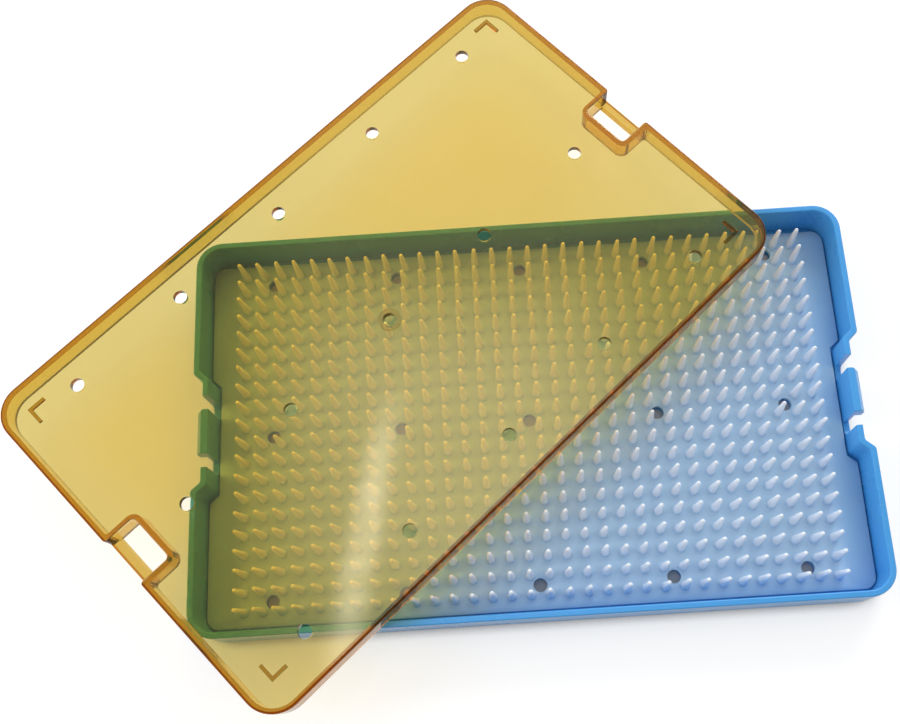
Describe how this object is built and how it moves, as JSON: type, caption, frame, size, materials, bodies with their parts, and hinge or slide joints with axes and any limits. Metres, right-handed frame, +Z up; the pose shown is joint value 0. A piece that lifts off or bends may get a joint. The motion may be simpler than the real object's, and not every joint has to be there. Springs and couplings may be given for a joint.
{
  "type": "sterilization container",
  "caption": "Shallow plastic instrument tray with a silicone finger mat, drain holes and snap tongues, and a clear cap lid lying turned across its rim.",
  "frame": {"origin": "centre of the tray's underside", "axes": "+X along the tray's long side, +Y across it towards the back of the picture, +Z up"},
  "size_m": [0.3173, 0.2774, 0.0269],
  "materials": {
    "tray_plastic": "moulded opaque blue plastic, satin gloss",
    "mat_silicone": "translucent whitish silicone, soft satin",
    "lid_plastic": "clear amber plastic, polished"
  },
  "bodies": {
    "tray": {"tray_base": "tray_plastic"},
    "right_latch": {"right_latch_tongue": "tray_plastic"},
    "left_latch": {"left_latch_tongue": "tray_plastic"},
    "mat": {"finger_mat": "mat_silicone", "mat_fingers": "mat_silicone"},
    "lid_body": {"lid": "lid_plastic"}
  },
  "joints": [
    {"name": "lid_lift", "type": "slide", "parent": "tray", "child": "lid_body", "axis": [0, 0, 1], "range_m": [0, 0.09]},
    {"name": "mat_lift", "type": "slide", "parent": "tray", "child": "mat", "axis": [0, 0, 1], "range_m": [0, 0.036]},
    {"name": "right_latch_flex", "type": "hinge", "parent": "tray", "child": "right_latch", "pos_m": [0.1191, 0, 0.00285], "axis": [0, -1, 0], "range_deg": [0, 8], "stiffness_Nm_per_rad": 0.9},
    {"name": "left_latch_flex", "type": "hinge", "parent": "tray", "child": "left_latch", "pos_m": [-0.1191, 0, 0.00285], "axis": [0, 1, 0], "range_deg": [0, 8], "stiffness_Nm_per_rad": 0.9}
  ],
  "couplings": [
    {"joint": "mat_lift", "follows": "lid_lift", "ratio": 0.4}
  ]
}
